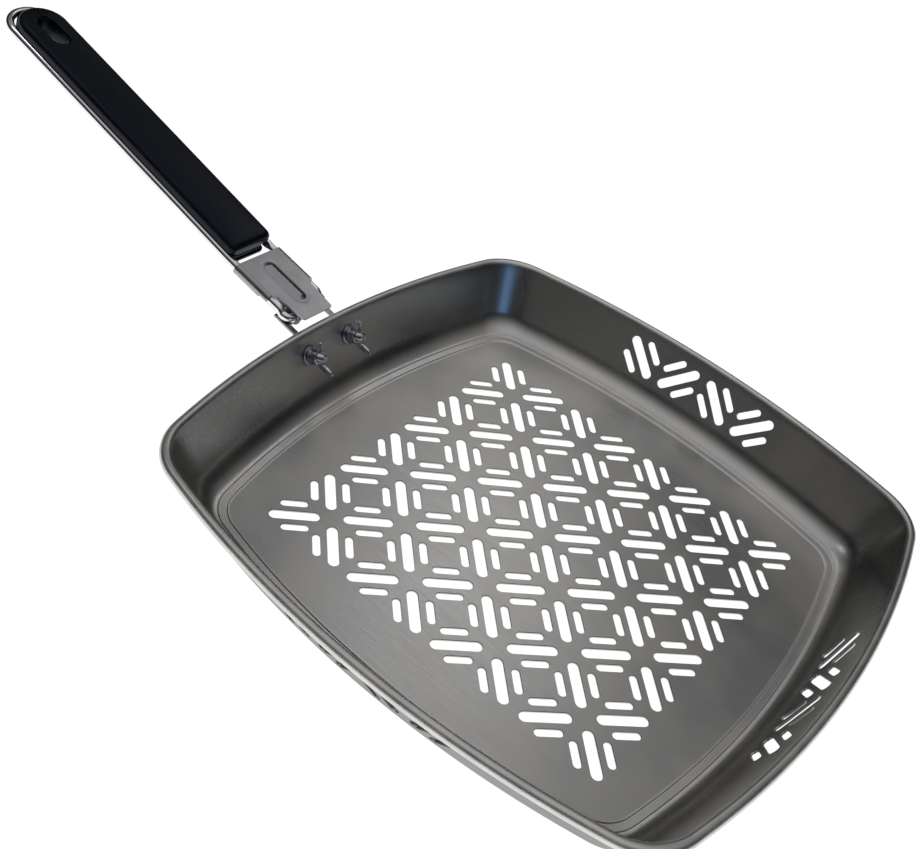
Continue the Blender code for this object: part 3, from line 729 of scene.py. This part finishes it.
def rail_path(size):
    """Centre line of the whole rail.

    A pin, a quarter turn, a rise by the cosine rule to the rods' line, a
    straight run, a soft bend and a half circle at the tip, then the same
    mirrored back to the other pin.
    """
    turn, drop = PIN_TURN, size.drop
    corner = arc((-turn, size.spread - turn), turn, 0.0, math.pi / 2, 10)
    pins = np.array([[0.0, size.pin], [0.0, size.spread - turn - 0.001]])
    flat = np.vstack([pins, corner])
    start = np.column_stack([flat, np.full(len(flat), -drop)])
    share = np.linspace(0.0, 1.0, 9)[1:, None]
    rise_x = -turn + (turn - size.rise) * share
    rise = np.column_stack([rise_x, np.full(len(share), size.spread),
                            -drop * (1 + np.cos(math.pi * share)) / 2])
    run = np.array([[x, size.spread, 0.0] for x in (-0.014, -0.024, -size.front + 0.009)])
    front = front_point(np.vstack([start, rise, run]), size)
    ends = np.vstack([front_point([[-size.front + 0.006, size.spread, 0.0]], size),
                      grip_point([[0.0, -size.spread, 0.0]], size),
                      grip_point([[0.006, -size.spread, 0.0]], size)])
    share = np.linspace(0.0, 1.0, 7)[:, None]
    bend = (ends[0] * (1 - share) ** 2 + 2 * ends[1] * share * (1 - share) + ends[2] * share ** 2)
    radius = size.spread - 0.0005
    tip = arc((size.reach - radius, size.spread - radius), radius, math.pi / 2, 0.0, 18)
    straight = np.column_stack([np.linspace(0.010, size.reach - radius - 0.002, 12),
                                np.full(12, size.spread)])
    flat = np.vstack([straight, tip])
    back = grip_point(np.column_stack([flat[:, 0], -flat[:, 1], np.zeros(len(flat))]), size)
    half = np.vstack([front, bend, back])
    mirror = half[::-1].copy()
    mirror[:, 1] = 2 * HINGE[1] - mirror[:, 1]
    return np.vstack([half, mirror])


class BASKET_OT_rail(bpy.types.Operator):
    """Builds the bright wire rail whose ends are the hinge pins"""
    bl_idname = "basket.rail"
    bl_label = "Wire rail"

    def execute(self, context):
        size = context.scene.handle_sizes
        rail = closed_shell("wire_rail", swept(rail_path(size), size.rod, 28))
        dress(rail, "bright_plating")
        stand_for(rail, 50.0, "handle", "rail_chrome", "handle_rail")
        return {"FINISHED"}


def grip_plan(half_width, start, end, steps=14, run=20):
    """The grip's outline in plan: a round far end, straight sides and small near corners."""
    near = min(0.0034, half_width * 0.5)
    far = arc((end - half_width, 0.0), half_width, -math.pi / 2, math.pi / 2, 2 * steps)
    left = arc((start + near, half_width - near), near, math.pi / 2, math.pi, steps // 2)
    right = left[::-1] * [1, -1]
    side = np.linspace(end - half_width, start + near, run)[1:-1]
    upper = np.column_stack([side, np.full(len(side), half_width)])
    lower = upper[::-1] * [1, -1]
    return np.vstack([far, upper, left, right, lower])


def grip_rings(rows, size):
    """Rings from rows of (half width, near end, far end, height)."""
    rings = []
    for half_width, start, end, height in rows:
        flat = grip_plan(half_width, start, end)
        rings.append(grip_point(np.column_stack([flat, np.full(len(flat), height)]), size))
    return rings


def grip_hole(size, low, high, mouth):
    """The hanging hole's cutter: a stadium that opens out where it meets a face."""
    half, radius = size.hole_length / 2, size.hole_width / 2
    side = 1 if mouth > low else -1
    levels = [(low, 0.0), (mouth - side * 0.0016, 0.0), (mouth - side * 0.0007, 0.0003),
              (mouth - side * 0.0001, 0.0011), (high, 0.0016)]
    rings = []
    for height, grow in levels:
        flat = stadium(half + grow, radius + grow, 16) + [size.hole, 0.0]
        rings.append(grip_point(np.column_stack([flat, np.full(len(flat), height)]), size))
    return closed_shell("hanging_hole", rings)


def rounded_rows(half_width, start, end, level, radius, rise, steps):
    """Rows whose outline draws in as it rises: a quarter of an ellipse in section."""
    rows = []
    for turn in np.linspace(0.0, math.pi / 2, steps):
        inset = radius * (1 - math.cos(turn))
        rows.append((half_width - inset, start + inset, end - inset, level + rise * math.sin(turn)))
    return rows


class BASKET_OT_grip(bpy.types.Operator):
    """Builds the two halves of the black grip, and gives their screws a finish"""
    bl_idname = "basket.grip"
    bl_label = "Grip"

    def execute(self, context):
        size = context.scene.handle_sizes
        face = size.rod + GAP
        inner = size.spread - face
        wide = size.spread + 0.0005
        start, end = size.start, size.end
        tongue = (inner, start + 0.001, end + 0.0026)
        rows = [(tongue[0] - 0.0004, tongue[1] + 0.0004, tongue[2] - 0.0004, 0.00015),
                (*tongue, 0.0005), (*tongue, face - 0.0002),
                (wide - 0.0004, start + 0.0004, end - 0.0004, face),
                (wide, start, end, face + 0.0004)]
        rows += rounded_rows(wide, start, end, size.top - 0.0036, 0.0030, 0.0030, 8)
        base = rows[-1]
        for inset, rise in ((0.0016, 0.00018), (0.0040, 0.00038), (0.0065, 0.00052),
                            (0.0090, 0.00059)):
            rows.append((base[0] - inset, base[1] + inset, base[2] - inset, base[3] + rise))
        top = closed_shell("grip_upper", grip_rings(rows, size))
        combine(top, [grip_hole(size, -0.004, size.top + 0.002, size.top)])
        dress(top, "grip_plastic")
        stand_for(top, 42.0, "handle", "grip_black", "grip_top")

        under = size.spread - 0.0012
        rows = [(tongue[0] - 0.0004, tongue[1] + 0.0004, tongue[2] - 0.0004, -0.00015),
                (*tongue, -0.0005), (*tongue, -face + 0.0002), (under, start, end, -face)]
        rows += [(w, a, b, -z) for w, a, b, z in
                 rounded_rows(under, start, end, face + 0.0009, 0.0009, 0.0009, 5)]
        bottom = closed_shell("grip_lower", grip_rings(rows, size))
        combine(bottom, [grip_hole(size, 0.004, -size.bottom - 0.002, -size.bottom)])
        dress(bottom, "grip_plastic")
        stand_for(bottom, 42.0, "handle", "grip_black", "grip_bottom")
        for label in ("front", "middle", "rear"):
            dress(frame["nodes"][f"grip_screw_{label}"], "fastener_steel")
        return {"FINISHED"}


# ---------------------------------------------------------------- lock slider
def rib_rise(x, y, size):
    """Height of the pressed rib: a smooth hump over the distance from a short middle line."""
    half = size.rib_length / 2 - size.rib_width / 2
    away = np.hypot(np.maximum(np.abs(x - size.rib_middle) - half, 0.0), y)
    share = np.clip(1 - away / (size.rib_width / 2), 0.0, 1.0)
    hump = share ** 2 * (3 - 2 * share)
    ring = np.exp(-((away - size.rib_width * 0.62) / 0.0009) ** 2)
    return size.rib_height * hump - 0.00012 * ring


class BASKET_OT_lock(bpy.types.Operator):
    """Builds the sliding lock: a plate rolled round the rods, with a rib and a tongue"""
    bl_idname = "basket.lock"
    bl_label = "Sliding lock"

    def execute(self, context):
        handle = context.scene.handle_sizes
        size = context.scene.lock_sizes
        travel = JOINTS["lock_slide"]["range_m"][1]
        level = handle.rod + GAP + size.sheet
        x = np.unique(np.concatenate([
            np.linspace(size.back, size.lip_end, 50),
            np.linspace(size.lip_end, size.side_end, 20),
            np.linspace(size.side_end, size.shoulder, 8),
            np.linspace(size.shoulder, size.tip, 46)]))
        width = np.interp(x, [size.back, size.side_end, size.shoulder, size.shoulder + 0.0005,
                              size.shoulder + 0.0018, size.tip - 0.0012, size.tip],
                          [handle.spread, handle.spread, 0.0126, 0.0117, 0.0113, 0.0105, 0.0094])
        across = np.linspace(-1.0, 1.0, 61)
        gx = np.repeat(x[:, None], len(across), 1)
        gy = width[:, None] * across
        gz = level + rib_rise(gx, gy, size)
        plate = np.stack([gx, gy, gz], -1)
        vertices = [plate.reshape(-1, 3)]
        faces = grid_faces(len(x), len(across), False).tolist()
        first = plate.size // 3
        roll = np.linspace(math.pi / 2, math.radians(-92), 15)
        for sign in (-1, 1):
            for low, high, turn in ((size.back, size.lip_end, roll),
                                    (size.lip_end, size.side_end, roll[:8])):
                part = x[(x >= low - 1e-9) & (x <= high + 1e-9)]
                ys = sign * (handle.spread + level * np.cos(turn))
                zs = level * np.sin(turn)
                strip = np.stack([np.repeat(part[:, None], len(turn), 1),
                                  np.repeat(ys[None], len(part), 0),
                                  np.repeat(zs[None], len(part), 0)], -1)
                vertices.append(strip.reshape(-1, 3))
                faces += grid_faces(len(part), len(turn), False, first).tolist()
                first += strip.size // 3
        local = np.vstack(vertices) - [travel, 0.0, 0.0]
        lock = make_mesh("lock_plate", front_point(local, handle), faces)
        thick = lock.modifiers.new("sheet", "SOLIDIFY")
        thick.thickness = size.sheet - 0.00002
        thick.offset = -1.0
        apply_modifiers(lock)
        dress(lock, "slider_steel")
        stand_for(lock, 40.0, "lock", "slider_steel", "lock_slider")
        return {"FINISHED"}


# ---------------------------------------------------------------- bracket and fasteners
def bolt_axes(nut):
    """Origin on the wall, then down the wall, level and into the basket."""
    into = np.array(nut["axis"], float)
    return np.array(nut["pos_m"], float), np.cross(LEVEL, into), LEVEL, into


def threaded(radius, low, high, pitch=0.0007):
    """Profile of a screw thread: crests and roots taking turns down the shaft."""
    crests = int((high - low) / pitch)
    heights = np.linspace(high, low, 2 * crests + 1)
    radii = np.where(np.arange(len(heights)) % 2 == 0, radius * 0.86, radius)
    return np.column_stack([radii, heights])


def wing_rings(turn, thickness):
    """A wing: an ear-shaped outline, drawn in at both faces so that its edges are round.

    The outline is a closed curve through a few points, smoothed by the
    Catmull-Rom rule, and lies in the plane of the hub's axis.
    """
    ear = np.array([[0.0026, 0.0006], [0.0048, 0.0011], [0.0076, 0.0034], [0.0099, 0.0060],
                    [0.0109, 0.0085], [0.0101, 0.0103], [0.0084, 0.0101], [0.0063, 0.0080],
                    [0.0046, 0.0054], [0.0026, 0.0048]])
    share = np.linspace(0.0, 1.0, 5, endpoint=False)[None, :, None]
    before, here = np.roll(ear, 1, 0)[:, None], ear[:, None]
    after, later = np.roll(ear, -1, 0)[:, None], np.roll(ear, -2, 0)[:, None]
    curve = 0.5 * (2 * here + (after - before) * share
                   + (2 * before - 5 * here + 4 * after - later) * share ** 2
                   + (3 * here - before - 3 * after + later) * share ** 3)
    curve = curve.reshape(-1, 2)
    middle = curve.mean(0)
    rings = []
    for lift in np.linspace(-1.0, 1.0, 9):
        inset = 1 - 0.16 * (1 - math.sqrt(max(1 - lift ** 2, 0.0)))
        flat = middle + (curve - middle) * inset
        rings.append(np.column_stack([flat[:, 0], np.full(len(flat), lift * thickness / 2),
                                      flat[:, 1]]))
    rings = np.array(rings)
    cosine, sine = math.cos(turn), math.sin(turn)
    spun = rings.copy()
    spun[..., 0] = rings[..., 0] * cosine - rings[..., 1] * sine
    spun[..., 1] = rings[..., 0] * sine + rings[..., 1] * cosine
    return spun


class BASKET_OT_fasteners(bpy.types.Operator):
    """Gives the bracket its finish, and builds its bolts, washers and wing nuts"""
    bl_idname = "basket.fasteners"
    bl_label = "Bracket and fasteners"

    def execute(self, context):
        dress(frame["nodes"]["hinge_bracket"], "bracket_steel")
        for label, nut in NUTS.items():
            axes = bolt_axes(nut)
            low, high = depth_range(f"bolt_{label}", axes)
            base = depth_range(f"wing_nut_{label}", axes)[0]
            washer_low, washer_high = depth_range(f"washer_{label}", axes)
            neck = low + 0.0028
            profile = np.vstack([[[0.0001, high], [0.0014, high], [0.0021, high - 0.0006]],
                                 threaded(BOLT_RADIUS, neck + 0.002, high - 0.0008),
                                 [[BOLT_RADIUS, neck], [0.0045, neck - 0.00003],
                                  [0.0045, neck - 0.0006], [0.0041, neck - 0.0016],
                                  [0.0031, neck - 0.0024], [0.0016, neck - 0.0027],
                                  [0.0001, low]]])
            bolt = closed_shell(f"carriage_bolt_{label}", placed(lathe(profile, 40), *axes))
            dress(bolt, "fastener_steel")
            stand_for(bolt, 40.0, "basket", "fastener_steel", f"bolt_{label}")

            thick = washer_high - washer_low
            ring = [(0.0028, 0.1), (0.0030, 0.0), (0.0049, 0.0), (0.0052, 0.25), (0.0052, 0.75),
                    (0.0049, 1.0), (0.0030, 1.0), (0.0028, 0.9), (0.0028, 0.1)]
            profile = [(radius, washer_low + thick * share) for radius, share in ring]
            turned = placed(lathe(profile, 48), *axes)
            faces = grid_faces(len(ring), 48).tolist()
            washer = make_mesh(f"plain_washer_{label}", turned.reshape(-1, 3), faces)
            dress(washer, "fastener_steel")
            stand_for(washer, 40.0, "basket", "fastener_steel", f"washer_{label}")

            hub_top = base + HUB_HEIGHT
            hub = [(0.0027, base + 0.0002), (0.0030, base), (0.0042, base),
                   (0.0045, base + 0.0004), (0.0041, hub_top - 0.0012),
                   (0.0037, hub_top - 0.0002), (0.0033, hub_top),
                   (0.0028, hub_top), (0.0026, hub_top - 0.0003), (0.0027, base + 0.0002)]
            shells = []
            for turn in (NUT_TURN, NUT_TURN + math.pi):
                rings = wing_rings(turn, WING_THICK)
                rings[..., 2] += base
                shells.append(placed(rings, *axes))
            nut_piece = joined(f"wing_nut_fine_{label}", shells)
            ring = placed(lathe(hub, 40), *axes)
            hub_piece = make_mesh("hub", ring.reshape(-1, 3), grid_faces(len(hub), 40).tolist())
            combine(nut_piece, [hub_piece], "UNION", "EXACT")
            dress(nut_piece, "fastener_steel")
            stand_for(nut_piece, 40.0, f"{label}_nut", "fastener_steel", f"wing_nut_{label}")
        return {"FINISHED"}


def depth_range(node, axes):
    """Lowest and highest reach of a CAD node along a bolt's axis."""
    mesh = frame["nodes"][node].data
    spots = np.empty(len(mesh.vertices) * 3)
    mesh.vertices.foreach_get("co", spots)
    reach = (spots.reshape(-1, 3) - axes[0]) @ axes[3]
    return float(reach.min()), float(reach.max())


# ---------------------------------------------------------------- stage
CAMERA_PLACE = (0.13856, -0.39712, 0.39639)
CAMERA_TURN = (49.0052, -13.6982, 38.3424)      # degrees, about X, Y and Z
CAMERA_LENS = 46.167
# Name, place, the point it faces, size, watts and tint.
LAMPS = (
    ("key", (-0.40, 0.88, 1.12), (0.0, 0.0, 0.0), 0.42, 0.44, (1.0, 1.0, 1.0)),
    ("back", (-0.56, 1.10, 0.97), (-0.05, 0.03, 0.0), 0.26, 0.13, (1.0, 0.97, 0.93)),
    ("front", (-0.20, -1.50, 0.42), (0.0, 0.1, 0.0), 0.50, 0.10, (1.0, 1.0, 1.0)),
    ("side", (-0.98, 0.98, 0.92), (-0.20, 0.0, 0.04), 0.30, 0.10, (0.95, 0.97, 1.0)),
    ("line", (-0.95, -0.05, 1.35), (-0.20, 0.0, 0.04), 0.20, 0.45, (1.0, 1.0, 1.0)),
    ("cool", (1.10, -0.62, 0.20), (-0.13, 0.13, 0.02), 0.40, 0.70, (0.22, 0.50, 1.0)),
)


def area_light(name, spot, aim, size, watts, tint):
    """A soft square lamp that faces a point."""
    light = bpy.data.lights.new(name, "AREA")
    light.shape = "SQUARE"
    light.size = size
    light.energy = watts
    light.color = tint
    lamp = bpy.data.objects.new(name, light)
    lamp.location = spot
    lamp.rotation_euler = (Vector(aim) - Vector(spot)).to_track_quat("-Z", "Y").to_euler()
    bpy.context.scene.collection.objects.link(lamp)


def studio_world():
    """A dark horizon under a bright ceiling, as a ramp on the height of each direction."""
    world = bpy.data.worlds.new("studio")
    world.use_nodes = True
    bpy.context.scene.world = world
    tree = world.node_tree
    tree.nodes.clear()
    place = add_node(tree, "ShaderNodeTexCoord")
    parts = add_node(tree, "ShaderNodeSeparateXYZ", [(0, place.outputs["Generated"])])
    ramp = add_node(tree, "ShaderNodeValToRGB", [(0, parts.outputs["Z"])])
    stops = ((0.0, 0.012), (0.50, 0.016), (0.66, 0.10), (0.80, 0.24), (0.93, 0.48), (1.0, 0.62))
    band = ramp.color_ramp
    band.interpolation = "EASE"
    while len(band.elements) < len(stops):
        band.elements.new(0.5)
    for element, (spot, value) in zip(band.elements, stops):
        element.position = spot
        element.color = (value, value, value * 1.02, 1.0)
    back = add_node(tree, "ShaderNodeBackground", [("Color", ramp.outputs["Color"])])
    end = tree.nodes.new("ShaderNodeOutputWorld")
    tree.links.new(back.outputs[0], end.inputs["Surface"])


class BASKET_OT_stage(bpy.types.Operator):
    """Builds the pale floor, the lights and the camera"""
    bl_idname = "basket.stage"
    bl_label = "Stage"

    floor_glow: bpy.props.FloatProperty(
        name="Floor glow", description="Light that the floor gives", default=1.05, min=0.0)

    def execute(self, context):
        side = np.linspace(-4.0, 4.0, 9)
        gx, gy = np.meshgrid(side, side, indexing="ij")
        flat = np.stack([gx, gy, np.full_like(gx, -0.0002)], -1).reshape(-1, 3)
        floor = make_mesh("studio_floor", flat, grid_faces(9, 9, False), outward=False)
        if floor.data.polygons[0].normal.z < 0:
            floor.data.flip_normals()
        made, tree, shader = new_material("pale_floor")
        shader.inputs["Base Color"].default_value = (0.02, 0.02, 0.02, 1.0)
        shader.inputs["Roughness"].default_value = 0.9
        shader.inputs["Specular IOR Level"].default_value = 0.0
        shader.inputs["Emission Color"].default_value = (1.0, 1.0, 1.0, 1.0)
        shader.inputs["Emission Strength"].default_value = self.floor_glow
        floor.data.materials.append(made)
        studio_world()
        context.scene.view_settings.view_transform = "Standard"
        for lamp in LAMPS:
            area_light(*lamp)
        lens = bpy.data.cameras.new("camera")
        lens.sensor_width = 36.0
        lens.lens = CAMERA_LENS
        lens.clip_start = 0.01
        camera = bpy.data.objects.new("camera", lens)
        camera.location = CAMERA_PLACE
        camera.rotation_euler = [math.radians(turn) for turn in CAMERA_TURN]
        context.scene.collection.objects.link(camera)
        context.scene.camera = camera
        return {"FINISHED"}


class BASKET_PT_panel(bpy.types.Panel):
    """Lists the pieces and their sizes in the sidebar"""
    bl_label = "Grill basket"
    bl_space_type = "VIEW_3D"
    bl_region_type = "UI"
    bl_category = "Basket"

    def draw(self, context):
        for operator in OPERATORS:
            self.layout.operator(operator.bl_idname)
        for name in ("basket_sizes", "handle_sizes", "lock_sizes", "basket_finishes"):
            settings = getattr(context.scene, name)
            box = self.layout.box()
            for prop in settings.bl_rna.properties:
                if prop.identifier not in ("rna_type", "name"):
                    box.prop(settings, prop.identifier)


OPERATORS = (BASKET_OT_stage, BASKET_OT_pan, BASKET_OT_rail, BASKET_OT_grip, BASKET_OT_lock,
             BASKET_OT_fasteners)
GROUPS = {"basket_sizes": BasketSizes, "handle_sizes": HandleSizes, "lock_sizes": LockSizes,
          "basket_finishes": Finishes}


def register():
    for group in GROUPS.values():
        bpy.utils.register_class(group)
    for name, group in GROUPS.items():
        setattr(bpy.types.Scene, name, bpy.props.PointerProperty(type=group))
    for kind in (*OPERATORS, BASKET_PT_panel):
        bpy.utils.register_class(kind)


def unregister():
    for kind in (BASKET_PT_panel, *reversed(OPERATORS)):
        bpy.utils.unregister_class(kind)
    for name, group in GROUPS.items():
        delattr(bpy.types.Scene, name)
        bpy.utils.unregister_class(group)


def main():
    """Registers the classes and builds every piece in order."""
    register()
    bpy.ops.basket.stage()
    bpy.ops.basket.pan()
    bpy.ops.basket.rail()
    bpy.ops.basket.grip()
    bpy.ops.basket.lock()
    bpy.ops.basket.fasteners()


if __name__ == "__main__":
    main()
